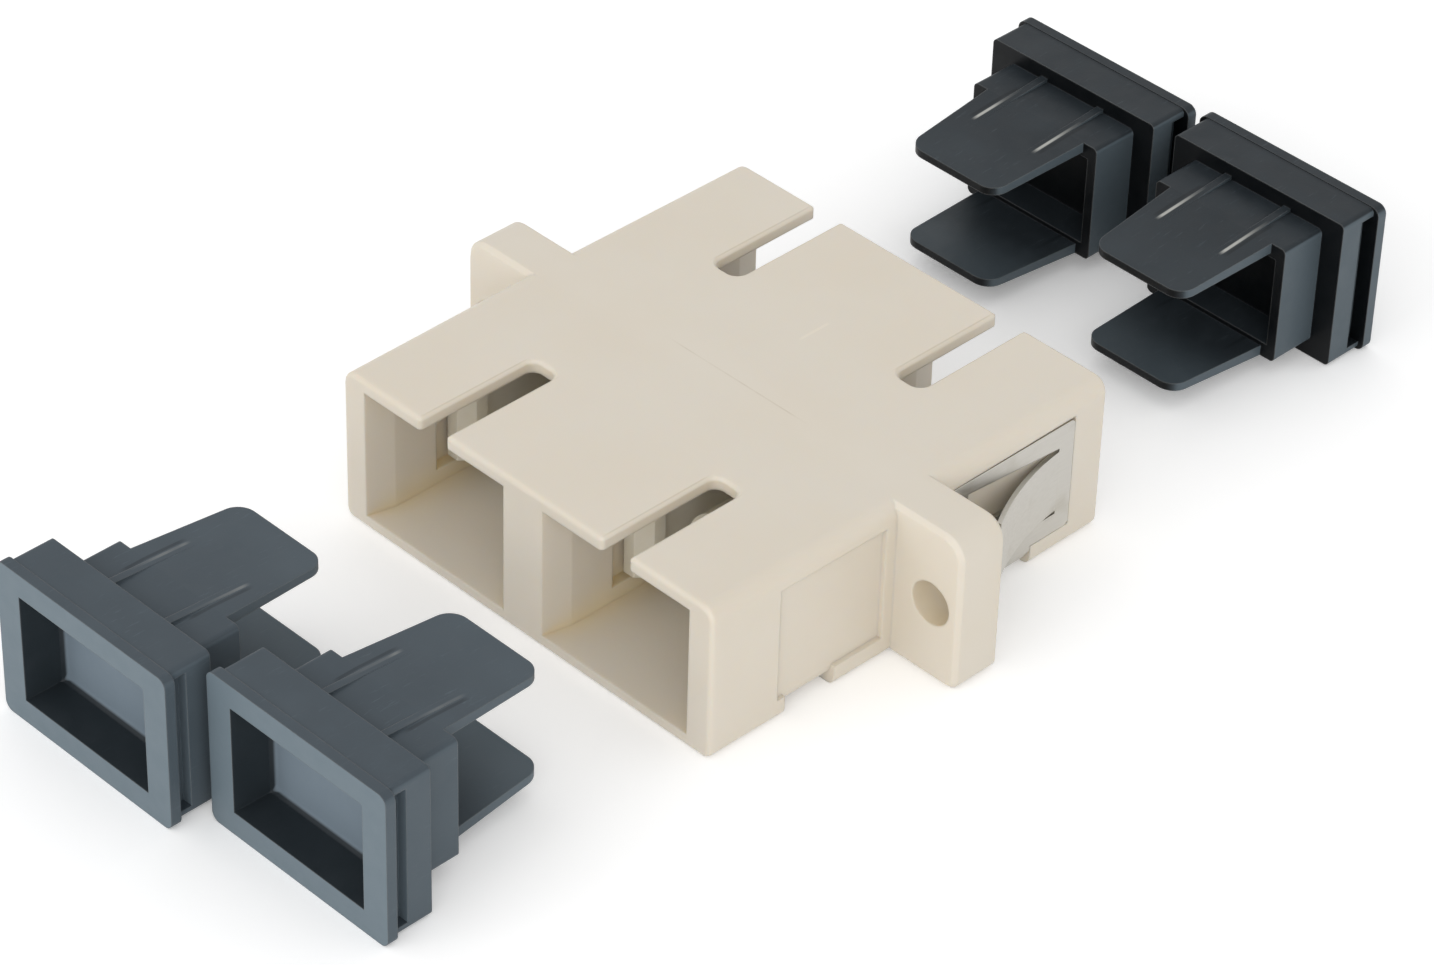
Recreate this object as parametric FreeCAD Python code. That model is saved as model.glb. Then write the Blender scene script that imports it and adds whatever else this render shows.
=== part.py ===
"""Duplex SC fibre adapter with two-screw ears, a panel clip and four dust caps.

Frame, millimetres: X runs across the two ports, Y along the fibres (the front ports
face -Y), Z is up. The origin is under the middle of the body, at the weld between its
two halves. The body's underside is Z = 0.
Every piece is modelled for the rear half (towards +Y); the front pieces are the same
pieces turned half a turn about Z.
"""
import FreeCAD, Part
import math
import os

V = FreeCAD.Vector
ALONG_Y = V(0, 1, 0)
UP = V(0, 0, 1)

# ---- driving sizes: housing -------------------------------------------------------
port_pitch = 12.7           # centre to centre of the two ports
body_width = 26.0
body_height = 8.9
half_length = 13.45         # weld plane to port mouth
side_draft = 0.12           # how much each side leans in by the mouth
top_edge_radius = 0.8
bottom_edge_radius = 0.5
mouth_edge_radius = 0.25

port_width = 9.2            # guides the plug
port_height = 7.5
mouth_width = 10.0          # lead-in at the mouth
lead_in_depth = 1.6

key_slot_width = 1.8
key_slot_length = 7.4
key_slot_end_radius = 0.6
key_slot_mouth_radius = 0.25
key_slot_chamfer = 0.15

# ---- driving sizes: ears ----------------------------------------------------------
ear_span = 34.5             # over both ears
ear_front_thickness = 1.4   # share of the front half
ear_rear_thickness = 1.65   # share of the rear half
ear_top_radius = 1.3
ear_bottom_radius = 0.6
ear_edge_chamfer = 0.25
ear_root_inset = 0.4        # how far an ear reaches in under the body's rounded edge
screw_from_ear_end = 1.85   # hole centre from the ear's outer end
screw_hole_diameter = 2.4

# ---- driving sizes: clip seat on each half ----------------------------------------
seat_depth = 0.3            # recess in the side faces
seat_start = 2.05           # from the weld plane, behind the ear
seat_end_front = 9.0
seat_end_rear = 11.2
seat_bottom = 1.2
seat_top = 7.8
strap_start = 5.2           # channel under the body
strap_end = 8.5
strap_depth = 0.35
strap_corner_radius = 0.9

# ---- driving sizes: catch (arms, flange and sleeve barrel) -------------------------
weld_pocket_width = 10.4    # pocket at the weld plane that traps the catch flange
weld_pocket_depth = 1.4
flange_clearance = 0.05
arm_pocket_half_height = 2.9
arm_pocket_mouth = 4.3      # depth of the arm pocket's edge from the mouth
arm_height = 5.2
arm_root = 0.5              # from the weld plane, inside the flange
arm_thickness = 0.7
arm_tip_from_mouth = 5.3
arm_offset = 4.2            # inner face of an arm from the port axis
hook_reach = 0.65           # how far a hook stands inside its arm
hook_length = 1.5
hook_ramp = 0.75            # length of the hook's slanted lead-in
barrel_diameter = 4.8
barrel_reach = 6.3          # from the weld plane
barrel_lip_diameter = 2.9
sleeve_outer_diameter = 3.2
sleeve_inner_diameter = 2.5
sleeve_length = 11.4
sleeve_slit = 0.5
sleeve_clearance = 0.05     # radial, in the barrel
sleeve_end_clearance = 0.1

# ---- driving sizes: panel clip ----------------------------------------------------
clip_thickness = 0.25
clip_edge_clearance = 0.08
clip_corner_radius = 0.3
finger_hinge = 10.1         # from the weld plane
finger_length = 6.3
finger_start_angle = 6.0    # degrees it leans out at the hinge
finger_radius = 16.0        # bend of the rest of the finger
finger_bottom = 2.6
finger_top = 6.2
finger_cut = 0.2            # width of the cut round the finger
finger_cut_flare = 0.55     # extra width of the upper cut at the free end

# ---- driving sizes: dust cap ------------------------------------------------------
cap_rim_width = 12.2
cap_rim_height = 8.9
cap_rim_thickness = 0.6
cap_rim_radius = 0.5
cap_collar_width = 11.5
cap_collar_height = 8.8
cap_collar_end = 2.95       # from the outer face
cap_collar_radius = 0.3
cap_grip_length = 0.9       # groove in each side, behind the rim
cap_grip_depth = 0.6
cap_grip_wall = 0.45        # collar left over and under a groove
cap_plug_side_clearance = 0.2   # round the plug in the port
cap_plug_top_clearance = 0.25
cap_plug_end = 5.8
cap_plug_radius = 0.3
cap_pocket_width = 9.0      # in the outer face
cap_pocket_height = 6.2
cap_pocket_depth = 2.75
cap_pocket_draft = 0.45
cap_hollow_width = 7.6      # between the tongues
cap_hollow_depth = 2.0
tongue_offset = 2.65        # inner face of a tongue's tip from the cap axis
tongue_tip_thickness = 0.45
tongue_root_thickness = 0.6
tongue_root_width = 6.9
tongue_tip_width = 6.1
tongue_end = 12.2
tongue_tip_radius = 1.0
cap_rib_offset = 2.0
cap_rib_width = 0.45
cap_rib_height = 0.2        # above the plug, at the collar
cap_rib_root = 0.3          # how deep a rib is set in
cap_rib_end = 8.8
cap_distances = {           # outer face from the mouth, as laid out
    "front_left": 21.6, "front_right": 19.6, "rear_left": 21.3, "rear_right": 21.6}

# ---- derived sizes ----------------------------------------------------------------
axis_height = body_height / 2
port_centres = {"left": -port_pitch / 2, "right": port_pitch / 2}
side_face = body_width / 2
seat_face = side_face - seat_depth
screw_spacing = ear_span - 2 * screw_from_ear_end
port_floor = axis_height - port_height / 2
port_ceiling = axis_height + port_height / 2
arm_tip = half_length - arm_tip_from_mouth
cap_plug_width = port_width - 2 * cap_plug_side_clearance
cap_plug_top = port_height / 2 - cap_plug_top_clearance     # above the cap axis


# ---- small helpers ----------------------------------------------------------------
def block(x0, x1, y0, y1, z0, z1):
    """Box between the given planes."""
    return Part.makeBox(x1 - x0, y1 - y0, z1 - z0, V(x0, y0, z0))


def rod(diameter, y0, y1, x=0.0, z=0.0):
    """Cylinder along Y."""
    return Part.makeCylinder(diameter / 2, y1 - y0, V(x, y0, z), ALONG_Y)


def edges_like(shape, test):
    """Edges whose middle point passes the test, which also gets the edge's direction."""
    found = []
    for edge in shape.Edges:
        middle = edge.valueAt((edge.FirstParameter + edge.LastParameter) / 2)
        span = edge.Vertexes[-1].Point - edge.Vertexes[0].Point
        if span.Length > 1e-6 and test(middle, span.normalize()):
            found.append(edge)
    return found


def runs_along(direction, axis):
    return abs(direction.dot(axis)) > 0.999


def rounded_bar(width, height, y0, y1, radius, z=0.0):
    """Bar along Y, centred on x = 0 and the given z, with rounded long edges."""
    bar = block(-width / 2, width / 2, y0, y1, z - height / 2, z + height / 2)
    long_edges = edges_like(bar, lambda m, d: runs_along(d, ALONG_Y))
    return bar.makeFillet(radius, long_edges)


def tapered_bar(width0, height0, width1, height1, y0, y1, z=0.0):
    """Bar along Y whose section changes evenly from one end to the other."""
    def frame(width, height, y):
        corners = [V(-width / 2, y, z - height / 2), V(width / 2, y, z - height / 2),
                   V(width / 2, y, z + height / 2), V(-width / 2, y, z + height / 2)]
        return Part.makePolygon(corners + corners[:1])
    return Part.makeLoft([frame(width0, height0, y0), frame(width1, height1, y1)], True, True)


def both_sides(shape):
    """The shape with its mirror image on the other side of the body."""
    return shape.fuse(shape.mirror(V(0, 0, 0), V(1, 0, 0)))


def to_front(shape):
    """Half a turn about Z carries a rear piece to the front."""
    turned = shape.copy()
    turned.rotate(V(0, 0, 0), UP, 180)
    return turned


# ---- housing ----------------------------------------------------------------------
def outer_body():
    """Drafted outer block of one half, from the weld plane to the port mouth."""
    reach = side_face - side_draft
    body = Part.makeWedge(-side_face, 0, 0, 0, -reach,
                          side_face, half_length, body_height, body_height, reach)
    top = edges_like(body, lambda m, d: m.z > body_height - 0.01 and abs(m.x) > reach - 0.5
                     and abs(d.y) > 0.9)
    body = body.makeFillet(top_edge_radius, top)
    bottom = edges_like(body, lambda m, d: m.z < 0.01 and abs(m.x) > reach - 0.5
                        and abs(d.y) > 0.9)
    body = body.makeFillet(bottom_edge_radius, bottom)
    mouth_rim = edges_like(body, lambda m, d: m.y > half_length - 0.01)
    return body.makeFillet(mouth_edge_radius, mouth_rim)


def ears(thickness):
    """Both ears of one half, without their holes."""
    inner = side_face - top_edge_radius - ear_root_inset
    ear = block(inner, ear_span / 2, 0, thickness, 0, body_height)
    top = edges_like(ear, lambda m, d: runs_along(d, ALONG_Y) and m.x > side_face
                     and m.z > axis_height)
    ear = ear.makeFillet(ear_top_radius, top)
    bottom = edges_like(ear, lambda m, d: runs_along(d, ALONG_Y) and m.x > side_face
                        and m.z < axis_height)
    ear = ear.makeFillet(ear_bottom_radius, bottom)
    outline = edges_like(ear, lambda m, d: m.y > thickness - 0.01 and m.x > inner + 0.01)
    return both_sides(ear.makeChamfer(ear_edge_chamfer, outline))


def port_cavity():
    """Space of one port from the weld plane to past the mouth, on x = 0."""
    guide = block(-port_width / 2, port_width / 2, 0, half_length, port_floor, port_ceiling)
    lead_in = tapered_bar(port_width, port_height, mouth_width, port_height,
                          half_length - lead_in_depth, half_length, axis_height)
    weld_pocket = block(-weld_pocket_width / 2, weld_pocket_width / 2,
                        0, weld_pocket_depth, port_floor, port_ceiling)
    arm_pocket = block(-weld_pocket_width / 2, weld_pocket_width / 2,
                       0, half_length - arm_pocket_mouth,
                       axis_height - arm_pocket_half_height,
                       axis_height + arm_pocket_half_height)
    return guide.fuse([lead_in, weld_pocket, arm_pocket])


def slot_outline(grow, z):
    """Plan of a key slot on x = 0: rounded inner end, flared mouth, all grown outwards."""
    side = key_slot_width / 2 + grow
    start = half_length - key_slot_length - grow
    inner = key_slot_end_radius + grow
    flare = key_slot_mouth_radius - grow
    flare_x = key_slot_width / 2 + key_slot_mouth_radius
    flare_y = half_length - key_slot_mouth_radius
    past_mouth = half_length + 1
    slant = math.sqrt(0.5)
    right = [
        Part.LineSegment(V(0, start, z), V(side - inner, start, z)),
        Part.Arc(V(side - inner, start, z),
                 V(side - inner + inner * slant, start + inner - inner * slant, z),
                 V(side, start + inner, z)),
        Part.LineSegment(V(side, start + inner, z), V(side, flare_y, z)),
        Part.Arc(V(side, flare_y, z),
                 V(flare_x - flare * slant, flare_y + flare * slant, z),
                 V(flare_x, flare_y + flare, z)),
        Part.LineSegment(V(flare_x, flare_y + flare, z), V(flare_x, past_mouth, z)),
        Part.LineSegment(V(flare_x, past_mouth, z), V(0, past_mouth, z)),
    ]
    right = Part.Wire([curve.toShape() for curve in right])
    left = right.mirror(V(0, 0, 0), V(1, 0, 0))
    return Part.Wire(Part.__sortEdges__(right.Edges + left.Edges))


def key_slot():
    """Slot in the top wall for a plug's key, on x = 0, with its top edge broken."""
    slot = Part.Face(slot_outline(0, axis_height)).extrude(V(0, 0, body_height))
    over = 0.05
    skirt = Part.makeLoft([slot_outline(0, body_height - key_slot_chamfer),
                           slot_outline(key_slot_chamfer + over, body_height + over)],
                          True, True)
    return slot.fuse(skirt)


def clip_seat(seat_end):
    """What is cut away for the panel clip: two side recesses and a channel below."""
    recess = block(seat_face, side_face + 1, seat_start, seat_end, seat_bottom, seat_top)
    strap_zone = block(-side_face - 1, side_face + 1, strap_start, strap_end, -1, seat_top)
    core_width = 2 * seat_face
    core_height = 2 * body_height
    core = rounded_bar(core_width, core_height, strap_start - 1, strap_end + 1,
                       strap_corner_radius, strap_depth + core_height / 2)
    return both_sides(recess).fuse(strap_zone.cut(core))


def housing_half(ear_thickness, seat_end):
    """One welded half of the body, in the rear position."""
    half = outer_body().fuse(ears(ear_thickness))
    cutters = [clip_seat(seat_end)]
    for x in port_centres.values():
        for cutter in (port_cavity(), key_slot()):
            cutter.translate(V(x, 0, 0))
            cutters.append(cutter)
    for side in (-1, 1):
        cutters.append(rod(screw_hole_diameter, -1, ear_thickness + 1,
                           side * screw_spacing / 2, axis_height))
    return half.cut(cutters).removeSplitter()


# ---- catch, sleeve ----------------------------------------------------------------
def catch_arm():
    """Latch arm on the +X side with its hook at the tip."""
    outer = arm_offset + arm_thickness
    tip_back = arm_tip - hook_length
    outline = [V(arm_offset, arm_root, 0), V(outer, arm_root, 0), V(outer, arm_tip, 0),
               V(arm_offset, arm_tip, 0), V(arm_offset - hook_reach, arm_tip - hook_ramp, 0),
               V(arm_offset - hook_reach, tip_back, 0), V(arm_offset, tip_back, 0)]
    face = Part.Face(Part.makePolygon(outline + outline[:1]))
    arm = face.extrude(V(0, 0, arm_height))
    arm.translate(V(0, 0, axis_height - arm_height / 2))
    return arm


def catch():
    """Flange, two arms and half of the sleeve barrel, moulded in one, on x = 0."""
    flange_width = weld_pocket_width - 2 * flange_clearance
    flange_height = port_height - 2 * flange_clearance
    flange = block(-flange_width / 2, flange_width / 2,
                   0, weld_pocket_depth - flange_clearance,
                   axis_height - flange_height / 2, axis_height + flange_height / 2)
    barrel = rod(barrel_diameter, 0, barrel_reach, 0, axis_height)
    piece = flange.fuse([barrel, both_sides(catch_arm())])
    sleeve_room = rod(sleeve_outer_diameter + 2 * sleeve_clearance, -1,
                      sleeve_length / 2 + sleeve_end_clearance, 0, axis_height)
    lip_hole = rod(barrel_lip_diameter, -1, barrel_reach + 1, 0, axis_height)
    return piece.cut([sleeve_room, lip_hole]).removeSplitter()


def sleeve():
    """Bronze split sleeve that lines up the two ferrules, on x = 0."""
    reach = sleeve_length / 2
    tube = rod(sleeve_outer_diameter, -reach, reach, 0, axis_height)
    bore = rod(sleeve_inner_diameter, -reach - 1, reach + 1, 0, axis_height)
    slit = block(-sleeve_slit / 2, sleeve_slit / 2, -reach - 1, reach + 1,
                 axis_height, axis_height + sleeve_outer_diameter)
    return tube.cut([bore, slit])


# ---- panel clip -------------------------------------------------------------------
def clip_finger():
    """Spring finger on the +X side, curling out towards the ear."""
    outer = seat_face + clip_thickness
    height = finger_top - finger_bottom
    centre = V(outer + finger_radius, finger_hinge, finger_bottom)
    ring = Part.makeCylinder(finger_radius + clip_thickness, height, centre)
    ring = ring.cut(Part.makeCylinder(finger_radius, height, centre))
    ring.rotate(V(seat_face, finger_hinge, 0), UP, finger_start_angle)
    keep = block(seat_face - clip_thickness, ear_span / 2,
                 finger_hinge - finger_length, finger_hinge, finger_bottom, finger_top)
    return ring.common(keep)


def finger_window():
    """Opening in the +X side plate that the finger is cut from."""
    start = finger_hinge - finger_length - finger_cut
    low = finger_bottom - finger_cut
    high = finger_top + finger_cut
    outline = [V(seat_face - 1, finger_hinge, low), V(seat_face - 1, start, low),
               V(seat_face - 1, start, high + finger_cut_flare),
               V(seat_face - 1, finger_hinge, high)]
    return Part.Face(Part.makePolygon(outline + outline[:1])).extrude(V(3, 0, 0))


def panel_clip():
    """One folded strip of spring steel: strap under the body, a plate on each side."""
    gap = clip_edge_clearance
    outer = seat_face + clip_thickness
    strap_y0, strap_y1 = strap_start + gap, strap_end - gap
    strap_bottom = strap_depth - clip_thickness
    tall = 2 * body_height
    outside = rounded_bar(2 * outer, tall, strap_y0, strap_y1,
                          strap_corner_radius + clip_thickness, strap_bottom + tall / 2)
    inside = rounded_bar(2 * seat_face, tall, strap_y0 - 1, strap_y1 + 1,
                         strap_corner_radius, strap_depth + tall / 2)
    strap = outside.cut(inside)
    strap = strap.common(block(-side_face, side_face, 0, half_length, -1, axis_height))
    plate = block(seat_face, outer, seat_start + gap, seat_end_rear - gap,
                  seat_bottom + gap, seat_top - gap)
    corners = edges_like(plate, lambda m, d: runs_along(d, V(1, 0, 0)))
    plate = plate.makeFillet(clip_corner_radius, corners)
    plate = plate.fuse(strap.common(block(0, side_face, 0, half_length, -1, axis_height)))
    side = plate.cut(finger_window()).fuse(clip_finger())
    return both_sides(side).fuse(strap).removeSplitter()


# ---- dust cap ---------------------------------------------------------------------
def tongue_top(y):
    """Height of the upper tongue's top face above the cap axis, at y from the outer face."""
    along = (y - cap_plug_end) / (tongue_end - cap_plug_end)
    tip = tongue_offset + tongue_tip_thickness
    return cap_plug_top + (tip - cap_plug_top) * along


def cap_tongue():
    """Upper tongue about the cap axis z = 0: a tapered plan met with a tapered side."""
    root = cap_plug_end
    plan = [V(-tongue_root_width / 2, root, 0), V(tongue_root_width / 2, root, 0),
            V(tongue_tip_width / 2, tongue_end, 0), V(-tongue_tip_width / 2, tongue_end, 0)]
    solid = Part.Face(Part.makePolygon(plan + plan[:1])).extrude(V(0, 0, cap_rim_height))
    tips = edges_like(solid, lambda m, d: runs_along(d, UP) and m.y > tongue_end - 0.01)
    solid = solid.makeFillet(tongue_tip_radius, tips)
    side = [V(-cap_rim_width, root, tongue_top(root) - tongue_root_thickness),
            V(-cap_rim_width, tongue_end, tongue_offset),
            V(-cap_rim_width, tongue_end, tongue_top(tongue_end)),
            V(-cap_rim_width, root, tongue_top(root))]
    wedge = Part.Face(Part.makePolygon(side + side[:1])).extrude(V(2 * cap_rim_width, 0, 0))
    return solid.common(wedge)


def cap_ribs():
    """Two thin ribs over the plug and the upper tongue, running out to nothing."""
    ribs = []
    for side in (-1, 1):
        x = side * cap_rib_offset - cap_rib_width / 2
        base = cap_plug_top - cap_rib_root
        outline = [V(x, cap_collar_end, base), V(x, cap_plug_end, base),
                   V(x, cap_rib_end, tongue_top(cap_rib_end)),
                   V(x, cap_collar_end, cap_plug_top + cap_rib_height)]
        face = Part.Face(Part.makePolygon(outline + outline[:1]))
        ribs.append(face.extrude(V(cap_rib_width, 0, 0)))
    return ribs


def cap_grips():
    """Grooves in both sides of the collar, for the finger nails that pull the cap."""
    reach = cap_collar_height / 2 - cap_grip_wall
    groove = block(cap_collar_width / 2 - cap_grip_depth, cap_rim_width,
                   cap_rim_thickness, cap_rim_thickness + cap_grip_length, -reach, reach)
    return both_sides(groove)


def dust_cap():
    """Cap about its own axis: outer face at y = 0, tongues towards +Y."""
    rim = rounded_bar(cap_rim_width, cap_rim_height, 0, cap_rim_thickness, cap_rim_radius)
    collar = rounded_bar(cap_collar_width, cap_collar_height,
                         cap_rim_thickness, cap_collar_end, cap_collar_radius)
    plug = rounded_bar(cap_plug_width, 2 * cap_plug_top,
                       cap_collar_end, cap_plug_end, cap_plug_radius)
    hollow = block(-cap_hollow_width / 2, cap_hollow_width / 2,
                   cap_plug_end - cap_hollow_depth, cap_plug_end, -tongue_offset, tongue_offset)
    upper = [cap_tongue()] + cap_ribs()
    lower = [piece.mirror(V(0, 0, 0), UP) for piece in upper]
    cap = rim.fuse([collar.cut(cap_grips()), plug.cut(hollow)] + upper + lower)
    pocket = tapered_bar(cap_pocket_width, cap_pocket_height,
                         cap_pocket_width - 2 * cap_pocket_draft,
                         cap_pocket_height - 2 * cap_pocket_draft, 0, cap_pocket_depth)
    return cap.cut(pocket).removeSplitter()


def place_cap(cap, x, distance):
    """Lay a cap out in line with a rear port, tongues towards the port."""
    placed = cap.copy()
    placed.rotate(V(0, 0, 0), UP, 180)
    placed.translate(V(x, half_length + distance, axis_height))
    return placed


# ---- build and export -------------------------------------------------------------
def build():
    pieces = {
        "rear_housing": housing_half(ear_rear_thickness, seat_end_rear),
        "front_housing": to_front(housing_half(ear_front_thickness, seat_end_front)),
        "panel_clip": panel_clip(),
    }
    opposite = {"left": "right", "right": "left"}
    plain_catch, plain_sleeve, plain_cap = catch(), sleeve(), dust_cap()
    for side, x in port_centres.items():
        at_port = plain_catch.copy()
        at_port.translate(V(x, 0, 0))
        pieces["rear_" + side + "_catch"] = at_port
        pieces["front_" + opposite[side] + "_catch"] = to_front(at_port)
        tube = plain_sleeve.copy()
        tube.translate(V(x, 0, 0))
        pieces[side + "_sleeve"] = tube
        rear_name = "rear_" + side
        pieces[rear_name + "_cap"] = place_cap(plain_cap, x, cap_distances[rear_name])
        front_name = "front_" + opposite[side]
        front_cap = place_cap(plain_cap, x, cap_distances[front_name])
        pieces[front_name + "_cap"] = to_front(front_cap)
    return pieces


os.makedirs("parts", exist_ok=True)
for name, made in build().items():
    shape = made.Solids[0]
    shape.exportStep("parts/" + name + ".step")
    print(name, shape.ShapeType, len(shape.Solids), "solid", shape.isValid(),
          round(shape.Volume, 2))
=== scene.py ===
"""Looks for a duplex SC fibre adapter: plastics, steel clip, bronze sleeves and the stage."""

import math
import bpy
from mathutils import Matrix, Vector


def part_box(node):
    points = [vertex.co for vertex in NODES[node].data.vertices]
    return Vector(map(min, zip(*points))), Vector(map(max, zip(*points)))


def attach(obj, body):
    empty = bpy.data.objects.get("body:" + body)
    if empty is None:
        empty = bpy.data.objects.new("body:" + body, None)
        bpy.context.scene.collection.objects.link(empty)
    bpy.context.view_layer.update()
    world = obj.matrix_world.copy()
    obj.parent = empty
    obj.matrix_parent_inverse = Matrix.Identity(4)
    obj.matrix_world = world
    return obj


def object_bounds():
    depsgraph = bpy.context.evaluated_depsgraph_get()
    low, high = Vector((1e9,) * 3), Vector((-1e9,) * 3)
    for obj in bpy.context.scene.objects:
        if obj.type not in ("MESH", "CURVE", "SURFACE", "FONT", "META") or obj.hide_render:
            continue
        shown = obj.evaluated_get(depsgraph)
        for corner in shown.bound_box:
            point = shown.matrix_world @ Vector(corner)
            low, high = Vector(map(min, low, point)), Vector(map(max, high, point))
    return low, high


bl_info = {
    "name": "Duplex fibre adapter finishes",
    "version": (1, 0, 0),
    "blender": (4, 5, 0),
    "location": "View3D > Sidebar > Adapter",
    "description": "Dresses a duplex fibre adapter with plastics and metals and sets its stage",
    "category": "Object",
}

import bmesh
import bpy
from bpy.props import FloatProperty, FloatVectorProperty, PointerProperty
from mathutils import Matrix, Vector

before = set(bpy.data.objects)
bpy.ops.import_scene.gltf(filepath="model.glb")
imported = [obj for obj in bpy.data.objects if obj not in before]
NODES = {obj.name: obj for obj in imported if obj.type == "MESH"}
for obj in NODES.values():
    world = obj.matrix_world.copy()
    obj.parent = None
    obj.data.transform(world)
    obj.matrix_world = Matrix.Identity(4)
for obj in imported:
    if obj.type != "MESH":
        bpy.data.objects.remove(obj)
CAD_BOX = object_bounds()

MM = 0.001
HOUSINGS = ["front_housing", "rear_housing"]
CATCHES = [name for name in sorted(NODES) if name.endswith("_catch")]
SLEEVES = [name for name in sorted(NODES) if name.endswith("_sleeve")]
CAPS = [name for name in sorted(NODES) if name.endswith("_cap")]
CLIP = "panel_clip"

BODY_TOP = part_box("rear_housing")[1].z
LEFT_SLEEVE_LOW, LEFT_SLEEVE_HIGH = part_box("left_sleeve")
PORT_OFFSET = -(LEFT_SLEEVE_LOW.x + LEFT_SLEEVE_HIGH.x) / 2
EAR_HOLE = Vector((15.4 * MM, 0, BODY_TOP / 2))

SMOOTH_BELOW = math.radians(28)     # steeper edges stay sharp

# Where the finishes begin and end, millimetres. A pair is faded over from first to last.
PORTS_SIDE = (11.7, 12.1)           # from the middle plane, just outside the outer port walls
PORTS_FLOOR = (0.35, 0.65)          # above the underside
EAR_HOLE_RIM = (1.21, 1.25)         # from the screw hole's centre
TOP_SKIN = (0.05, 0.01)             # below the top face
WELD_SEAM = (0.25, 0.3)             # either side of the weld plane, where edges stay crisp
WELD_SHADOW = (0.3, 1.8)            # either side of the weld plane, where light soaks less
CAP_FACE_END = (2.8, 2.9)           # cap depths run from the outer face towards the tongues
CAP_POCKET_SIDE = (4.54, 4.6)       # from the cap's axis
CAP_POCKET_TOP = (3.14, 3.2)        # from the cap's axis
CAP_POCKET_END = (2.74, 2.8)        # depth at which the pocket's walls end
CAP_POCKET_INSIDE = (1.0, 2.0)      # depth over which a flat face turns into the pocket's floor
# painted shade in the front caps' hollow starts over this depth
CAP_HOLLOW_START = (2.8, 3.2)       # depth at which the front caps' dark hollow begins
# painted light on the lower tongue's tip fades in over this depth
TONGUE_FADE = (7.0, 11.5)           # depth over which the lower tongue pales
LOWER_TONGUE = (1.5, 3.0)           # above the cap's lowest point
RIB_CREST = dict(centre=2.14, half_width=0.13, start=4.4, end=8.4)
RIB_CREST_FADE = (4.8, 7.2)
RIB_CREST_HEIGHT = (2.98, 3.04)     # from the cap's axis
RIB_FOOT = dict(centre=2.42, half_width=0.14, start=4.2, end=8.4)
RIB_FOOT_HEIGHT = (2.8, 2.9)
# colour of the painted highlight at the rib ends
RIB_HIGHLIGHT_COLOUR = (190, 190, 184)      # sRGB, 0 to 255
# colour of the painted highlight along the caps' outer edges
EDGE_HIGHLIGHT_COLOUR = (128, 130, 130)

# The stage, in metres.
KEY_PLACE = Vector((-0.12, -0.62, 0.3))
FILL_PLACE = Vector((0.4, -0.4, 0.24))
SOFTBOX_SIZE = 0.5
FLOOR_BOUNCE = 0.96                 # light the floor gives back to the adapter
FLOOR_GLOW = 0.18                   # how far the floor is lifted where it is only looked at
WHITE = (1.0, 1.0, 1.0, 1.0)


# ---- colours and shader helpers ---------------------------------------------------
def linear(rgb):
    """An sRGB colour written 0 to 255, as linear RGBA."""
    def channel(value):
        value /= 255.0
        return value / 12.92 if value <= 0.04045 else ((value + 0.055) / 1.055) ** 2.4
    return tuple(channel(value) for value in rgb) + (1.0,)


def opaque(colour):
    """A panel colour as opaque RGBA."""
    return tuple(colour) + (1.0,)


def tinted(colour, red, green, blue):
    """The colour with each channel scaled, as opaque RGBA."""
    return (colour[0] * red, colour[1] * green, colour[2] * blue, 1.0)


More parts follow.
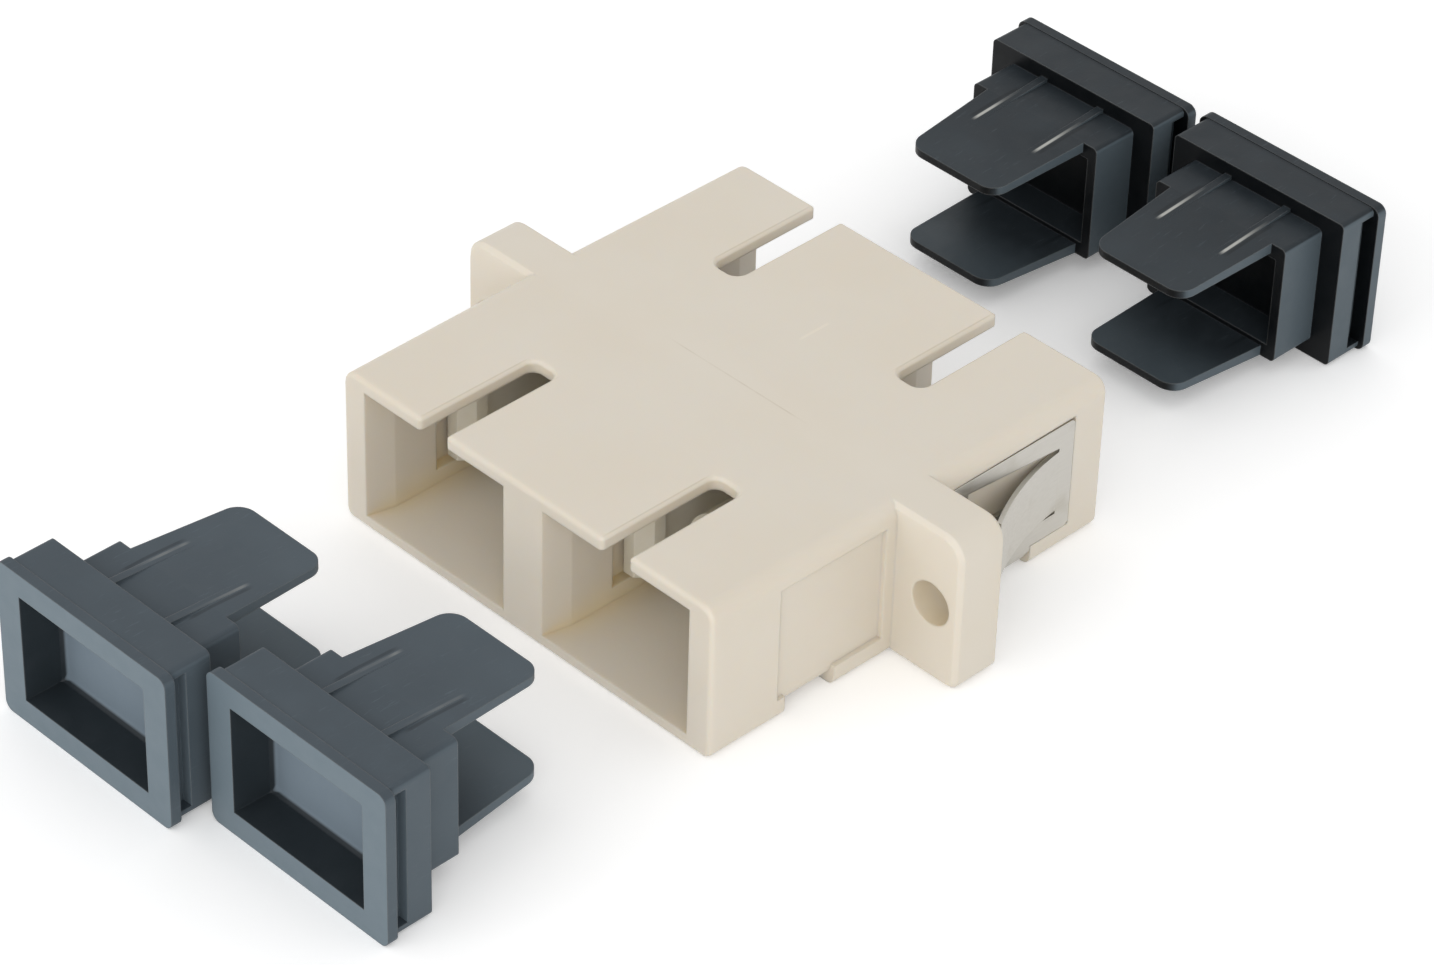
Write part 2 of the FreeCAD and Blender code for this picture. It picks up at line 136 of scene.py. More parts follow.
class Shader:
    """The node tree of a material or a world: makes its nodes and joins them."""

    def __init__(self, owner, output="ShaderNodeOutputMaterial"):
        self.owner = owner
        self.owner.use_nodes = True
        self.tree = self.owner.node_tree
        self.tree.nodes.clear()
        self.output = self.make(output)

    def make(self, kind, **settings):
        node = self.tree.nodes.new(kind)
        for key, value in settings.items():
            setattr(node, key, value)
        return node

    def join(self, source, target):
        self.tree.links.new(source, target)

    def object_place(self):
        return self.make("ShaderNodeTexCoord").outputs["Object"]

    def mapped(self, source, scale=(1, 1, 1), offset=(0, 0, 0)):
        node = self.make("ShaderNodeMapping")
        node.inputs["Scale"].default_value = scale
        node.inputs["Location"].default_value = offset
        self.join(source, node.inputs["Vector"])
        return node.outputs["Vector"]

    def noise(self, source, size_mm, detail=2.0, roughness=0.5):
        """Noise whose grains are about size_mm across."""
        node = self.make("ShaderNodeTexNoise")
        node.inputs["Scale"].default_value = 1.0 / (size_mm * MM)
        node.inputs["Detail"].default_value = detail
        node.inputs["Roughness"].default_value = roughness
        self.join(source, node.inputs["Vector"])
        return node.outputs["Fac"]

    def ramp(self, source, low, high, start=0.0, end=1.0):
        """Maps low..high of the source smoothly to start..end."""
        node = self.make("ShaderNodeMapRange", interpolation_type="SMOOTHSTEP")
        for key, value in (("From Min", low), ("From Max", high),
                           ("To Min", start), ("To Max", end)):
            node.inputs[key].default_value = value
        self.join(source, node.inputs["Value"])
        return node.outputs["Result"]

    def ramp_mm(self, source, span, start=0.0, end=1.0):
        """The same ramp for a length, with its span given in millimetres."""
        return self.ramp(source, span[0] * MM, span[1] * MM, start, end)

    def math(self, operation, a, b=0.0):
        node = self.make("ShaderNodeMath", operation=operation)
        for index, value in enumerate((a, b)):
            if isinstance(value, (int, float)):
                node.inputs[index].default_value = value
            else:
                self.join(value, node.inputs[index])
        return node.outputs[0]

    def times(self, product, *factors):
        """The product of a node output and further outputs or plain numbers."""
        for factor in factors:
            product = self.math("MULTIPLY", product, factor)
        return product

    def away(self, source, centre=0.0):
        """How far the source is from the centre, either way."""
        return self.math("ABSOLUTE", self.math("SUBTRACT", source, centre))

    def largest(self, first, *others):
        for other in others:
            first = self.math("MAXIMUM", first, other)
        return first

    def mix(self, factor, a, b):
        node = self.make("ShaderNodeMix", data_type="RGBA")
        for socket, value in ((node.inputs[0], factor), (node.inputs[6], a), (node.inputs[7], b)):
            if isinstance(value, (int, float, tuple)):
                socket.default_value = value
            else:
                self.join(value, socket)
        return node.outputs[2]

    def mix_vectors(self, factor, a, b):
        node = self.make("ShaderNodeMix", data_type="VECTOR")
        for socket, value in ((node.inputs[0], factor), (node.inputs[4], a), (node.inputs[5], b)):
            self.join(value, socket)
        return node.outputs[1]

    def separate(self, source):
        node = self.make("ShaderNodeSeparateXYZ")
        self.join(source, node.inputs[0])
        return node.outputs

    def facing(self):
        """The surface's own normal."""
        return self.make("ShaderNodeNewGeometry").outputs["Normal"]

    def closed_in(self, reach_mm):
        """1 on open faces, falling to 0 where the piece's own faces close in within reach_mm."""
        node = self.make("ShaderNodeAmbientOcclusion", samples=8, only_local=True)
        node.inputs["Distance"].default_value = reach_mm * MM
        return node.outputs["AO"]

    def soft_edges(self, radius_mm):
        """Normals rounded over at sharp edges."""
        node = self.make("ShaderNodeBevel", samples=6)
        node.inputs["Radius"].default_value = radius_mm * MM
        return node.outputs["Normal"]

    def on_edges(self, radius_mm):
        """1 along outer edges, 0 on flat faces and in inner corners."""
        bent = self.make("ShaderNodeVectorMath", operation="DOT_PRODUCT")
        self.join(self.soft_edges(radius_mm), bent.inputs[0])
        self.join(self.facing(), bent.inputs[1])
        rounded = self.ramp(bent.outputs["Value"], 0.86, 0.98, 1.0, 0.0)
        return self.times(rounded, self.ramp(self.closed_in(0.8), 0.6, 0.85))

    def bump(self, height, depth_mm, normal=None):
        node = self.make("ShaderNodeBump")
        node.inputs["Strength"].default_value = 1.0
        node.inputs["Distance"].default_value = depth_mm * MM
        self.join(height, node.inputs["Height"])
        if normal is not None:
            self.join(normal, node.inputs["Normal"])
        return node.outputs["Normal"]

    def surface(self, **values):
        """Principled surface: plain values go on its sockets, node outputs are joined to them."""
        node = self.make("ShaderNodeBsdfPrincipled")
        for key, value in values.items():
            socket = node.inputs[key.replace("_", " ")]
            if isinstance(value, bpy.types.NodeSocket):
                self.join(value, socket)
            else:
                socket.default_value = value
        self.join(node.outputs["BSDF"], self.output.inputs["Surface"])
        return self.owner


def new_shader(name):
    return Shader(bpy.data.materials.new(name))


def assign(name, material):
    """Gives a frame node its material and smooths its rounded faces."""
    mesh = NODES[name].data
    mesh.materials.clear()
    mesh.materials.append(material)
    mesh.polygons.foreach_set("use_smooth", [True] * len(mesh.polygons))
    mesh.set_sharp_from_angle(angle=SMOOTH_BELOW)


# ---- finishes ---------------------------------------------------------------------
def stroke(s, across, along, centre, half_width, start, end):
    """1 on a short straight line drawn on the surface, in millimetres, and 0 off it."""
    fade = 0.15 * (end - start)
    line = s.ramp_mm(s.away(across, centre * MM), (0.4 * half_width, half_width), 1.0, 0.0)
    begun = s.ramp_mm(along, (start, start + fade))
    ended = s.ramp_mm(along, (end - fade, end), 1.0, 0.0)
    return s.times(line, begun, ended)


def uneven(s, noise, finish, below=0.06, above=0.08):
    """Roughness that drifts with the noise, below and above the finish's own."""
    return s.ramp(noise, 0.3, 0.7, finish.roughness - below, finish.roughness + above)


def painted_warmth_places(s, x, z):
    """Where the painted warm light and shade go: 1 inside the ports and less in the ears' screw
    holes, 0 on the outside.
    """
    out = s.away(x)
    in_port = s.times(s.ramp_mm(out, PORTS_SIDE, 1.0, 0.0), s.ramp_mm(z, PORTS_FLOOR))
    beside = s.math("SUBTRACT", out, EAR_HOLE.x)
    above = s.math("SUBTRACT", z, EAR_HOLE.z)
    squares = s.math("ADD", s.times(beside, beside), s.times(above, above))
    in_hole = s.ramp_mm(s.math("SQRT", squares), EAR_HOLE_RIM, 0.45, 0.0)
    return s.largest(in_port, in_hole)


def weld_and_slot_shadow_lines(s, at, x, y, finish):
    """A weld hairline that comes and goes, and a painted shadow line along each key slot's edge.
    """
    broken = s.ramp(s.noise(at, 3.0, 2.0), 0.4, 0.62, 0.3, 1.0)
    weld = stroke(s, y, x, centre=0.0, half_width=0.06, start=-4.5, end=6.0)
    # painted shadow line along each key slot's edge
    slot = stroke(s, s.away(s.away(x), PORT_OFFSET), s.away(y),
                  centre=1.06, half_width=0.05, start=5.9, end=13.6)
    return s.largest(s.times(weld, broken, finish.weld_line), s.times(slot, finish.slot_shadow_lines))


def housing_plastic(finish):
    """Beige moulded plastic, a little translucent: weld line, gate mark, painted shade in ports
    and at key slots.
    """
    s = new_shader("housing_plastic")
    at = s.object_place()
    x, y, z = s.separate(at)
    from_weld = s.away(y)
    base = opaque(finish.colour)
    cloud = s.ramp(s.noise(at, 7.0, 3.0), 0.3, 0.7)
    colour = s.mix(s.times(cloud, finish.mottle), base, tinted(base, 0.985, 0.96, 0.92))

    # painted warm bounce light and painted shade inside the ports and screw holes, where the
    # walls close in
    openness = s.closed_in(5.0)
    warmth = s.times(painted_warmth_places(s, x, z), finish.inner_painted_warmth)
    inside = s.times(s.ramp(openness, 0.12, 0.8, 1.0, 0.0), warmth)
    colour = s.mix(inside, colour, tinted(base, 1.26, 1.04, 0.46))
    deepest_painted_shade = s.times(s.ramp(openness, 0.04, 0.22, 1.0, 0.0), warmth)
    colour = s.mix(deepest_painted_shade, colour, tinted(base, 0.6, 0.44, 0.2))

    # the weld's dark hairline, painted shadow lines along the key slots and the gate's pale
    # streak, on the top face alone
    on_top = s.ramp(z, BODY_TOP - TOP_SKIN[0] * MM, BODY_TOP - TOP_SKIN[1] * MM)
    marks = s.times(weld_and_slot_shadow_lines(s, at, x, y, finish), on_top)
    colour = s.mix(s.times(marks, 0.5), colour, tinted(base, 0.6, 0.54, 0.45))
    gate = stroke(s, x, y, centre=0.4, half_width=0.12, start=4.5, end=6.8)
    colour = s.mix(s.times(gate, on_top, 0.45), colour, tinted(base, 1.13, 1.12, 1.1))

    grain, ripple = s.noise(at, 0.12, 2.0), s.noise(at, 1.6, 1.0)
    height = s.math("ADD", s.times(grain, 0.35), ripple)
    height = s.math("SUBTRACT", height, s.times(marks, 1.5))
    # the halves meet without a rounded edge, and light doesn't soak across the weld
    on_seam = s.ramp_mm(from_weld, WELD_SEAM, 1.0, 0.0)
    edges = s.mix_vectors(on_seam, s.soft_edges(finish.edge_softness), s.facing())
    soaked = s.ramp_mm(from_weld, WELD_SHADOW, 0.0, finish.translucency)
    rough = uneven(s, s.noise(at, 2.5, 2.0), finish, 0.05, 0.06)
    return s.surface(Base_Color=colour, Roughness=rough, Normal=s.bump(height, 0.006, edges),
                     IOR=1.5, Subsurface_Weight=soaked,
                     Subsurface_Radius=(1.0, 0.72, 0.42), Subsurface_Scale=0.7 * MM)


def catch_plastic(finish):
    """Natural, slightly milky plastic of the inner latch pieces."""
    s = new_shader("catch_plastic")
    at = s.object_place()
    base = opaque(finish.colour)
    cloud = s.ramp(s.noise(at, 3.0, 3.0), 0.35, 0.65)
    normal = s.bump(s.noise(at, 0.15, 2.0), 0.004, s.soft_edges(0.06))
    return s.surface(Base_Color=s.mix(cloud, base, tinted(base, 0.95, 0.94, 0.91)),
                     Roughness=0.42, Normal=normal, IOR=1.5, Subsurface_Weight=0.25,
                     Subsurface_Radius=(1.0, 0.85, 0.6), Subsurface_Scale=0.8 * MM)


class CapPlace:
    """Where on a dust cap a point lies, as node outputs."""

    def __init__(self, s, name):
        low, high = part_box(name)
        self.rear = low.y > 0
        self.at = s.object_place()
        x, y, z = s.separate(self.at)
        self.depth = (s.math("SUBTRACT", high.y, y) if self.rear
                      else s.math("SUBTRACT", y, low.y))
        self.height = s.math("SUBTRACT", z, low.z)
        self.across = s.away(x, (low.x + high.x) / 2)
        self.off_axis = s.away(z, (low.z + high.z) / 2)
        lean_x, lean_y, _ = s.separate(s.facing())
        self.sideways = s.away(lean_x)
        self.outward = s.times(lean_y, 1.0 if self.rear else -1.0)


def paled(s, place, colour, pale, finish):
    """Handling marks fade towards the pale colour; painted light pales the sides and the lower
    tongue's tip towards it too.
    """
    cloud = s.ramp(s.noise(place.at, 2.2, 4.0, 0.6), 0.42, 0.72)
    streaks = s.noise(s.mapped(place.at, (3.0, 0.35, 3.0)), 0.5, 4.0, 0.65)
    wear = s.math("ADD", s.times(cloud, 0.4), s.ramp(streaks, 0.6, 0.72))
    # painted light on the sides and on the lower tongue's tip
    side_painted_light = finish.side_painted_light * (3.0 if place.rear else 1.0)
    side = s.times(s.ramp(place.sideways, 0.7, 0.95), side_painted_light)
    lower = s.ramp_mm(place.height, LOWER_TONGUE, 1.0, 0.2)
    tip = s.times(s.ramp_mm(place.depth, TONGUE_FADE), lower, finish.tip_painted_light)
    for amount in (s.times(wear, finish.scuffs), side, tip):
        colour = s.mix(amount, colour, pale)
    return colour


def painted_shade(s, place, colour, base, finish):
    """Painted shade on the faces towards the adapter, the pocket's walls and the hollow between
    the tongues.
    """
    inward = s.ramp(place.outward, -0.95, -0.5, 1.0, 0.0)
    colour = s.mix(s.times(inward, finish.inward_shade), colour, tinted(base, 0.1, 0.11, 0.12))
    walls = s.times(s.ramp_mm(place.across, CAP_POCKET_SIDE, 1.0, 0.0),
                    s.ramp_mm(place.off_axis, CAP_POCKET_TOP, 1.0, 0.0),
                    s.ramp_mm(place.depth, CAP_POCKET_END, 1.0, 0.0))
    shut_in_shade = s.ramp(s.closed_in(4.0), 0.15, 0.5, 1.0, 0.0)
    if not place.rear:
        shut_in_shade = s.times(shut_in_shade, s.ramp_mm(place.depth, CAP_HOLLOW_START))
    return s.mix(s.times(s.largest(shut_in_shade, walls), finish.hollow_painted_shade), colour,
                 tinted(base, 0.12, 0.13, 0.13))


def ribbed(s, place, colour, base, finish):
    """A painted highlight where each rib runs out, over a painted shadow line at each rib's foot.
    """
    foot = s.times(stroke(s, place.across, place.depth, **RIB_FOOT),
                   s.ramp_mm(place.off_axis, RIB_FOOT_HEIGHT))
    colour = s.mix(s.times(foot, finish.rib_shadow), colour, tinted(base, 0.25, 0.26, 0.27))
    patchy = s.ramp(s.noise(place.at, 3.0, 2.0), 0.34, 0.52, 0.4, 1.0)
    rib_top_highlight = s.times(stroke(s, place.across, place.depth, **RIB_CREST),
                    s.ramp_mm(place.depth, RIB_CREST_FADE, 0.12, 1.0),
                    s.ramp_mm(place.off_axis, RIB_CREST_HEIGHT),
                    patchy, finish.rib_end_highlight * (1.0 if place.rear else 0.3))
    return s.mix(rib_top_highlight, colour, linear(RIB_HIGHLIGHT_COLOUR))


def cap_plastic(finish, name):
    """Slate-grey soft plastic of one cap: painted light on the outer faces, painted shade in
    hollows, painted highlights.
    """
    s = new_shader(name + "_plastic")
    place = CapPlace(s, name)
    # painted shade: the rear pair is the same plastic, darkened as though lit less
    shade = finish.rear_painted_shade if place.rear else 1.0
    base = tinted(finish.colour, shade, shade, shade)
    pale_shade = 0.5 + 0.5 * shade
    pale = tinted(finish.face_colour, pale_shade, pale_shade, pale_shade)
    colour = paled(s, place, base, pale, finish)
    colour = painted_shade(s, place, colour, base, finish)

    # painted light: the outer face is paler, and the pocket's floor paler still
    flat = s.times(s.ramp(place.outward, 0.8, 0.98),
                   s.ramp_mm(place.depth, CAP_FACE_END, 1.0, 0.0))
    pocket_floor_light = s.ramp_mm(place.depth, CAP_POCKET_INSIDE)
    colour = s.mix(flat, colour, s.mix(pocket_floor_light, pale, tinted(pale, 1.25, 1.22, 1.25)))
    colour = ribbed(s, place, colour, base, finish)
    # painted highlight along the outer edges
    lit_edges = s.times(s.on_edges(0.12), finish.edge_highlight)
    colour = s.mix(lit_edges, colour, linear(EDGE_HIGHLIGHT_COLOUR))

    grain, ripple = s.noise(place.at, 0.1, 2.0), s.noise(place.at, 1.3, 2.0)
    height = s.math("ADD", s.times(grain, 0.4), ripple)
    normal = s.bump(height, 0.008, s.soft_edges(finish.edge_softness))
    rough = uneven(s, s.noise(place.at, 1.1, 3.0), finish)
    return s.surface(Base_Color=colour, Roughness=rough, Normal=normal, IOR=1.5,
                     Specular_IOR_Level=finish.gloss)


def clip_steel(finish):
    """Rolled spring steel: fine grain along the strip and a few dull patches."""
    s = new_shader("clip_steel")
    at = s.object_place()
    base = opaque(finish.colour)
    grain = s.noise(s.mapped(at, (1.0, 0.06, 1.0)), 0.08, 3.0, 0.6)
    patches = s.ramp(s.noise(at, 1.6, 3.0), 0.5, 0.8)
    colour = s.mix(s.times(patches, finish.tarnish), base, tinted(base, 0.74, 0.71, 0.64))
    return s.surface(Base_Color=colour, Metallic=1.0, Roughness=uneven(s, grain, finish),
                     Normal=s.bump(grain, 0.003, s.soft_edges(0.04)))


def sleeve_bronze():
    """Bright phosphor bronze with a turned grain."""
    s = new_shader("sleeve_bronze")
    grain = s.noise(s.mapped(s.object_place(), (1.0, 9.0, 1.0)), 0.4, 2.0)
    colour = s.mix(grain, linear((206, 160, 110)), linear((184, 134, 88)))
    return s.surface(Base_Color=colour, Metallic=1.0, Roughness=0.28,
                     Normal=s.bump(grain, 0.002, s.soft_edges(0.03)))


# ---- pocket floors ----------------------------------------------------------------
CORNER_STEPS = 6
SHARPEST_CORNER = 0.05 * MM


def rounded_outline(width, height, radius):
    """Points of a rounded rectangle about the origin, corner by corner."""
    points = []
    for quarter, (side, level) in enumerate(((1, 1), (-1, 1), (-1, -1), (1, -1))):
        for step in range(CORNER_STEPS + 1):
            turn = math.radians(90 * (quarter + step / CORNER_STEPS))
            points.append((side * (width / 2 - radius) + radius * math.cos(turn),
                           level * (height / 2 - radius) + radius * math.sin(turn)))
    return points


def pocket_floor(name, pocket):
    """Moulded floor of a cap's pocket, which runs up into the walls in a small fillet."""
    low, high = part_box(name)
    centre_x, centre_z = (low.x + high.x) / 2, (low.z + high.z) / 2
    outer, inward = (high.y, -1.0) if low.y > 0 else (low.y, 1.0)
    start = pocket.depth - pocket.fillet
    narrowing = 2 * pocket.draft / pocket.full_depth * start - pocket.overlap
    shape = bmesh.new()
    loops = []
    for step in range(CORNER_STEPS + 1):
        turn = math.radians(90 * step / CORNER_STEPS)
        inset = pocket.fillet * (1.0 - math.cos(turn))
        depth = start + pocket.fillet * math.sin(turn)
        smaller = narrowing + 2 * inset
        outline = rounded_outline(pocket.width - smaller, pocket.height - smaller,
                                  SHARPEST_CORNER + inset)
        loops.append([shape.verts.new((centre_x + x, outer + inward * depth, centre_z + z))
                      for x, z in outline])
    for wide, narrow in zip(loops, loops[1:]):
        for index in range(len(wide)):
            after = (index + 1) % len(wide)
            shape.faces.new((wide[index], wide[after], narrow[after], narrow[index]))
    bottom = shape.faces.new(loops[-1])
    bmesh.ops.recalc_face_normals(shape, faces=shape.faces)
    if bottom.normal.y * inward > 0:
        bmesh.ops.reverse_faces(shape, faces=shape.faces)
    mesh = bpy.data.meshes.new(name + "_pocket_floor")
    shape.to_mesh(mesh)
    shape.free()
    mesh.polygons.foreach_set("use_smooth", [True] * len(mesh.polygons))
    piece = bpy.data.objects.new(name + "_pocket_floor", mesh)
    bpy.context.scene.collection.objects.link(piece)
    mesh.materials.append(NODES[name].data.materials[0])
    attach(piece, name)


# ---- stage ------------------------------------------------------------------------
def seen_plainly(s):
    """1 for rays that show the background: straight, in reflections and through glass."""
    path = s.make("ShaderNodeLightPath").outputs
    return s.largest(path["Is Camera Ray"], path["Is Glossy Ray"], path["Is Transmission Ray"])


def floor_paper():
    """Pale paper that reads white where it is lit and keeps the soft contact shadow."""
    s = new_shader("floor_paper")
    seen = seen_plainly(s)
    colour = s.mix(seen, (FLOOR_BOUNCE, FLOOR_BOUNCE, FLOOR_BOUNCE, 1.0), WHITE)
    return s.surface(Base_Color=colour, Roughness=1.0, Specular_IOR_Level=0.0,
                     Emission_Color=WHITE, Emission_Strength=s.times(seen, FLOOR_GLOW))


def add_floor(size):
    mesh = bpy.data.meshes.new("floor")
    shape = bmesh.new()
    bmesh.ops.create_grid(shape, x_segments=1, y_segments=1, size=size / 2)
    shape.to_mesh(mesh)
    shape.free()
    floor = bpy.data.objects.new("floor", mesh)
    floor.location.z = CAD_BOX[0][2]
    mesh.materials.append(floor_paper())
    bpy.context.scene.collection.objects.link(floor)


def add_world(strength):
    """Even white light of the given strength, which shows as plain white where it is seen."""
    s = Shader(bpy.data.worlds.new("studio_sky"), "ShaderNodeOutputWorld")
    blend = s.make("ShaderNodeMixShader")
    s.join(seen_plainly(s), blend.inputs[0])
    for index, level in ((1, strength), (2, 1.0)):
        light = s.make("ShaderNodeBackground")
        light.inputs["Color"].default_value = WHITE
        light.inputs["Strength"].default_value = level
        s.join(light.outputs[0], blend.inputs[index])
    s.join(blend.outputs[0], s.output.inputs["Surface"])
    bpy.context.scene.world = s.owner


def add_softbox(name, place, power):
    """A large square lamp that points at the middle of the adapter."""
    data = bpy.data.lights.new(name, "AREA")
    data.shape = "SQUARE"
    data.size = SOFTBOX_SIZE
    data.energy = power
    lamp = bpy.data.objects.new(name, data)
    lamp.location = place
    towards = Vector((0, 0, BODY_TOP / 2)) - place
    lamp.rotation_euler = towards.to_track_quat("-Z", "Y").to_euler()
    bpy.context.scene.collection.objects.link(lamp)


def add_camera(view):
    """Long lens, looking down over the front right corner."""
    turn, tilt, roll = view.azimuth, view.elevation, view.roll
    back = Vector((math.sin(turn) * math.cos(tilt), -math.cos(turn) * math.cos(tilt),
                   math.sin(tilt)))
    right = Vector((math.cos(turn), math.sin(turn), 0.0))
    up = back.cross(right)
    leaned_right = right * math.cos(roll) + up * math.sin(roll)
    leaned_up = up * math.cos(roll) - right * math.sin(roll)
    data = bpy.data.cameras.new("camera")
    data.sensor_width = 36.0
    data.lens = view.lens
    data.clip_start = 0.01
    camera = bpy.data.objects.new("camera", data)
    place = back * view.distance + leaned_right * view.slide_right + leaned_up * view.slide_up
    turned = Matrix((leaned_right, leaned_up, back)).transposed().to_4x4()
    camera.matrix_world = Matrix.Translation(place) @ turned
    bpy.context.scene.collection.objects.link(camera)
    bpy.context.scene.camera = camera


# ---- settings ---------------------------------------------------------------------
def share(label, about, default):
    """A slider from 0 to 1."""
    return FloatProperty(name=label, description=about, default=default,
                         min=0, max=1, subtype="FACTOR")


def swatch(label, about, rgb):
    """A colour, given as sRGB 0 to 255."""
    return FloatVectorProperty(name=label, description=about, default=linear(rgb)[:3],
                               subtype="COLOR", size=3, min=0, max=1)


def length(label, about, default, smallest=0.0):
    """A length, given in millimetres."""
    return FloatProperty(name=label, description=about, default=default * MM,
                         min=smallest * MM, unit="LENGTH")


def softness(default):
    return FloatProperty(name="Edge softness", description="Width of the rounded-over edges, mm",
                         default=default, min=0, max=1)


class AdapterHousingFinish(bpy.types.PropertyGroup):
    colour: swatch("Colour", "Plastic of the two housing halves", (218, 210, 196))
    roughness: share("Roughness", "Satin level of the skin", 0.42)
    translucency: share("Translucency", "How far light soaks into the walls", 0.3)
    mottle: share("Mottle", "Strength of the slow colour changes", 0.5)
    # strength of the painted warm light and shade inside the ports
    inner_painted_warmth: share("Inner warmth", "Warmer colour inside the ports", 0.85)
    weld_line: share("Weld line", "How plainly the weld shows on the top", 0.7)
    # strength of the painted shadow lines along the key slots' edges
    slot_shadow_lines: share("Slot lines", "How plainly the key slots' edges show", 0.6)
    edge_softness: softness(0.16)


class AdapterCatchFinish(bpy.types.PropertyGroup):
    colour: swatch("Colour", "Plastic of the latch pieces", (232, 227, 214))


class AdapterCapFinish(bpy.types.PropertyGroup):
    colour: swatch("Colour", "Plastic of the dust caps", (68, 77, 84))
    # painted light: outer face, pocket floor, sides and lower tongue tips are paled to this
    # colour, as are handling marks
    face_colour: swatch("Face colour", "Outer face and pocket floor", (104, 117, 125))
    # painted shade that darkens the rear pair of caps
    rear_painted_shade: share("Rear shade", "Plastic of the rear pair against the front pair", 0.34)
    # painted light on the caps' sides
    side_painted_light: share("Side paleness", "How far the sides take the face colour", 0.3)
    # painted light on the lower tongue's tip
    tip_painted_light: share("Tip paleness", "How far the tongues fade to the face colour", 0.5)
    inward_shade: share("Inward shade", "How dark the faces towards the adapter are", 1.0)
    # strength of the painted shade in the pockets and hollows
    hollow_painted_shade: share("Hollow depth", "How dark the pockets and hollows are", 0.78)
    # strength of the painted highlight at the rib ends
    rib_end_highlight: share("Rib whitening", "Stress marks at the rib ends", 0.8)
    rib_shadow: share("Rib shadow", "Dark line at the foot of each rib", 0.5)
    roughness: share("Roughness", "Satin level of the skin", 0.42)
    gloss: share("Gloss", "Strength of the reflections", 0.18)
    # strength of the painted highlight along the outer edges
    edge_highlight: share("Edge wear", "How far the outer edges have paled", 0.35)
    scuffs: share("Scuffs", "Strength of the handling marks", 0.2)
    edge_softness: softness(0.1)


class AdapterCapPocket(bpy.types.PropertyGroup):
    width: length("Width", "Pocket width in the outer face", 9.0, 1.0)
    height: length("Height", "Pocket height in the outer face", 6.2, 1.0)
    full_depth: length("Full depth", "Depth over which the walls' draft runs", 2.75, 0.5)
    draft: length("Draft", "How far each wall leans in over the full depth", 0.45)
    depth: length("Floor depth", "Outer face to the pocket's floor", 2.15, 0.5)
    fillet: length("Fillet", "Radius between the floor and the walls", 0.45, 0.05)
    overlap: length("Overlap", "How far the floor's rim runs into the walls", 0.04)


class AdapterClipFinish(bpy.types.PropertyGroup):
    colour: swatch("Colour", "Steel of the panel clip", (197, 194, 187))
    roughness: share("Roughness", "Polish of the rolled strip", 0.38)
    tarnish: share("Tarnish", "Strength of the dull patches", 0.4)


class AdapterStage(bpy.types.PropertyGroup):
    azimuth: FloatProperty(name="Azimuth", description="Camera turn from straight in front",
                           subtype="ANGLE", default=math.radians(44.63))
    elevation: FloatProperty(name="Elevation", description="Camera height angle",
                             subtype="ANGLE", default=math.radians(37.41))
    roll: FloatProperty(name="Roll", description="Camera lean about its own line of sight",
                        subtype="ANGLE", default=math.radians(1.77))
    distance: FloatProperty(name="Distance", description="Camera to the adapter's origin",
                            unit="LENGTH", default=0.2595)
    slide_right: FloatProperty(name="Slide right", description="Camera offset to its right",
                               unit="LENGTH", default=-0.00024)
    slide_up: FloatProperty(name="Slide up", description="Camera offset upwards in the picture",
                            unit="LENGTH", default=0.00177)
    lens: FloatProperty(name="Lens", description="Focal length for a 36 mm wide sensor, mm",
                        default=131.2, min=10, max=400)
    floor_size: FloatProperty(name="Floor size", description="Side of the square floor",
                              unit="LENGTH", default=3.0, min=0.5)
    sky: FloatProperty(name="Sky level", description="Even light from all round",
                       default=0.785, min=0)
    key_power: FloatProperty(name="Key power", description="Large softbox, front left, watts",
                             default=1.1, min=0)
    fill_power: FloatProperty(name="Fill power", description="Softbox, front right, watts",
                              default=0.95, min=0)


# ---- operators --------------------------------------------------------------------
class AdapterDressHousing(bpy.types.Operator):
    """Give both housing halves their beige plastic"""
    bl_idname = "adapter.dress_housing"
    bl_label = "Dress housing"

    def execute(self, context):
        material = housing_plastic(context.scene.adapter_housing)
        for name in HOUSINGS:
            assign(name, material)
        return {"FINISHED"}


class AdapterDressCatches(bpy.types.Operator):
    """Give the latch pieces and the split sleeves inside their finishes"""
    bl_idname = "adapter.dress_catches"
    bl_label = "Dress catches and sleeves"

    def execute(self, context):
        material = catch_plastic(context.scene.adapter_catch)
        for name in CATCHES:
            assign(name, material)
        bronze = sleeve_bronze()
        for name in SLEEVES:
            assign(name, bronze)
        return {"FINISHED"}


class AdapterDressClip(bpy.types.Operator):
    """Give the panel clip its rolled steel"""
    bl_idname = "adapter.dress_clip"
    bl_label = "Dress panel clip"

    def execute(self, context):
        assign(CLIP, clip_steel(context.scene.adapter_clip))
        return {"FINISHED"}


class AdapterDressCaps(bpy.types.Operator):
    """Give the dust caps their slate-grey plastic"""
    bl_idname = "adapter.dress_caps"
    bl_label = "Dress dust caps"

    def execute(self, context):
        for name in CAPS:
            assign(name, cap_plastic(context.scene.adapter_cap, name))
        return {"FINISHED"}


class AdapterLayPocketFloors(bpy.types.Operator):
    """Lay the moulded floor in the pocket of each dust cap"""
    bl_idname = "adapter.lay_pocket_floors"
    bl_label = "Lay pocket floors"

    def execute(self, context):
        for name in CAPS:
            pocket_floor(name, context.scene.adapter_pocket)
        return {"FINISHED"}


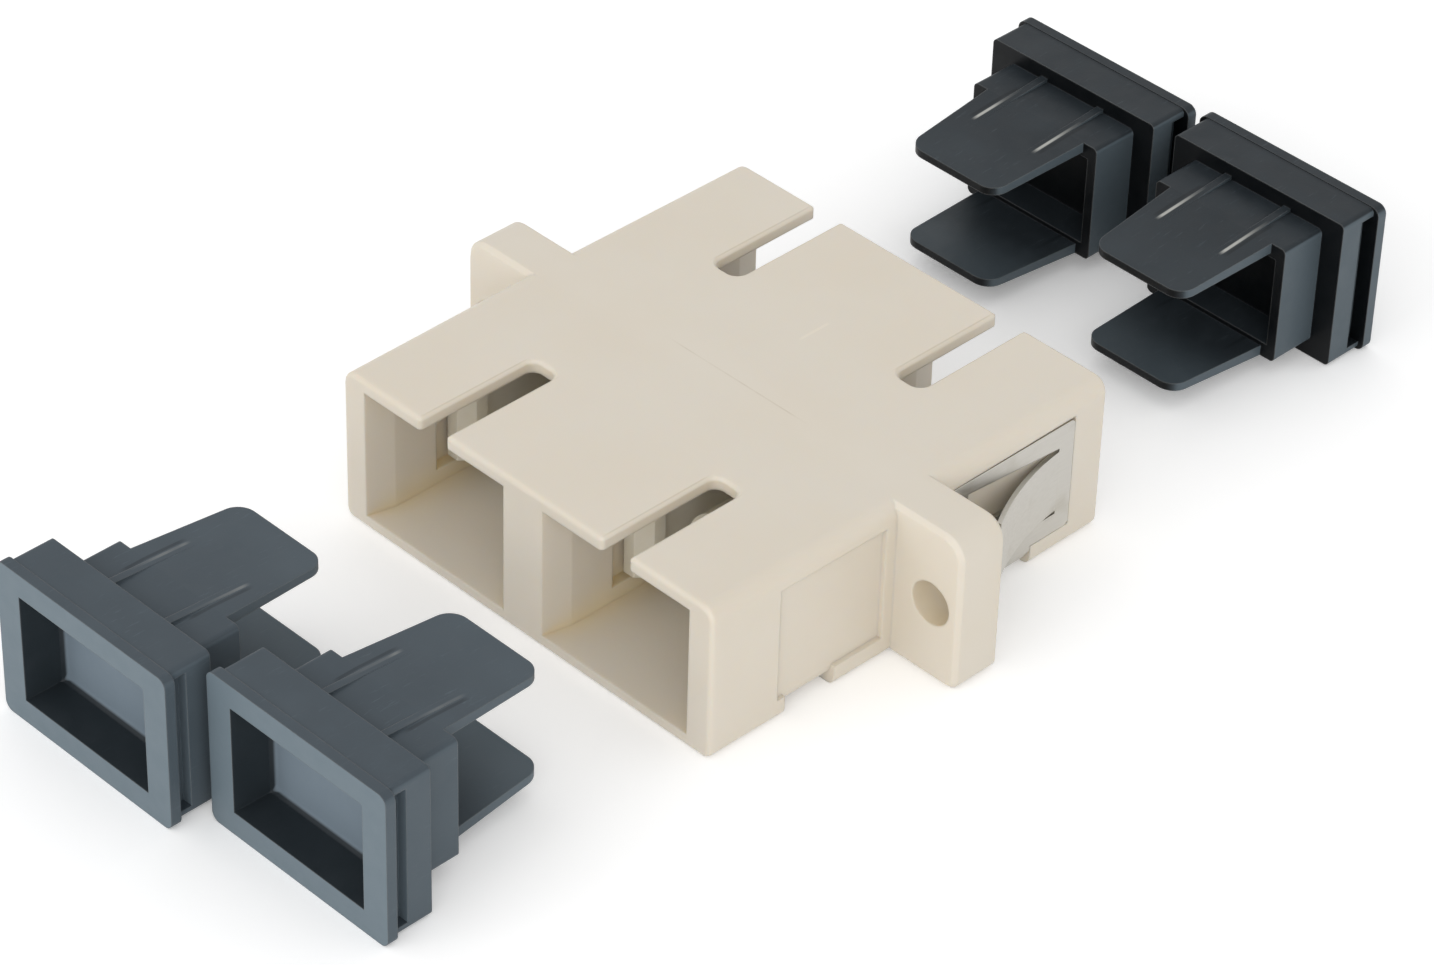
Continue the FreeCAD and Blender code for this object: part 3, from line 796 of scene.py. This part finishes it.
class AdapterSetStage(bpy.types.Operator):
    """Lay the pale floor, hang the soft lights and place the camera"""
    bl_idname = "adapter.set_stage"
    bl_label = "Set stage"

    def execute(self, context):
        stage = context.scene.adapter_stage
        context.scene.view_settings.view_transform = "Standard"
        add_floor(stage.floor_size)
        add_world(stage.sky)
        add_softbox("key_softbox", KEY_PLACE, stage.key_power)
        add_softbox("fill_softbox", FILL_PLACE, stage.fill_power)
        add_camera(stage)
        return {"FINISHED"}


class AdapterPanel(bpy.types.Panel):
    """Lists the finishes and the buttons that apply them"""
    bl_idname = "VIEW3D_PT_adapter"
    bl_label = "Fibre adapter"
    bl_space_type = "VIEW_3D"
    bl_region_type = "UI"
    bl_category = "Adapter"

    def draw(self, context):
        for group, operators in LAYOUT:
            box = self.layout.box()
            settings = getattr(context.scene, group)
            for key in settings.__annotations__:
                box.prop(settings, key)
            for operator in operators:
                box.operator(operator)


SETTINGS = {
    "adapter_housing": AdapterHousingFinish,
    "adapter_catch": AdapterCatchFinish,
    "adapter_cap": AdapterCapFinish,
    "adapter_pocket": AdapterCapPocket,
    "adapter_clip": AdapterClipFinish,
    "adapter_stage": AdapterStage,
}
LAYOUT = (
    ("adapter_housing", ("adapter.dress_housing",)),
    ("adapter_catch", ("adapter.dress_catches",)),
    ("adapter_cap", ("adapter.dress_caps",)),
    ("adapter_pocket", ("adapter.lay_pocket_floors",)),
    ("adapter_clip", ("adapter.dress_clip",)),
    ("adapter_stage", ("adapter.set_stage",)),
)
OPERATORS = (AdapterDressHousing, AdapterDressCatches, AdapterDressClip, AdapterDressCaps,
             AdapterLayPocketFloors, AdapterSetStage)
CLASSES = tuple(SETTINGS.values()) + OPERATORS + (AdapterPanel,)


def register():
    for cls in CLASSES:
        bpy.utils.register_class(cls)
    for name, cls in SETTINGS.items():
        setattr(bpy.types.Scene, name, PointerProperty(type=cls))


def unregister():
    for name in SETTINGS:
        delattr(bpy.types.Scene, name)
    for cls in reversed(CLASSES):
        bpy.utils.unregister_class(cls)


def main():
    register()
    for operator in OPERATORS:
        group, name = operator.bl_idname.split(".")
        getattr(getattr(bpy.ops, group), name)()


if __name__ == "__main__":
    main()
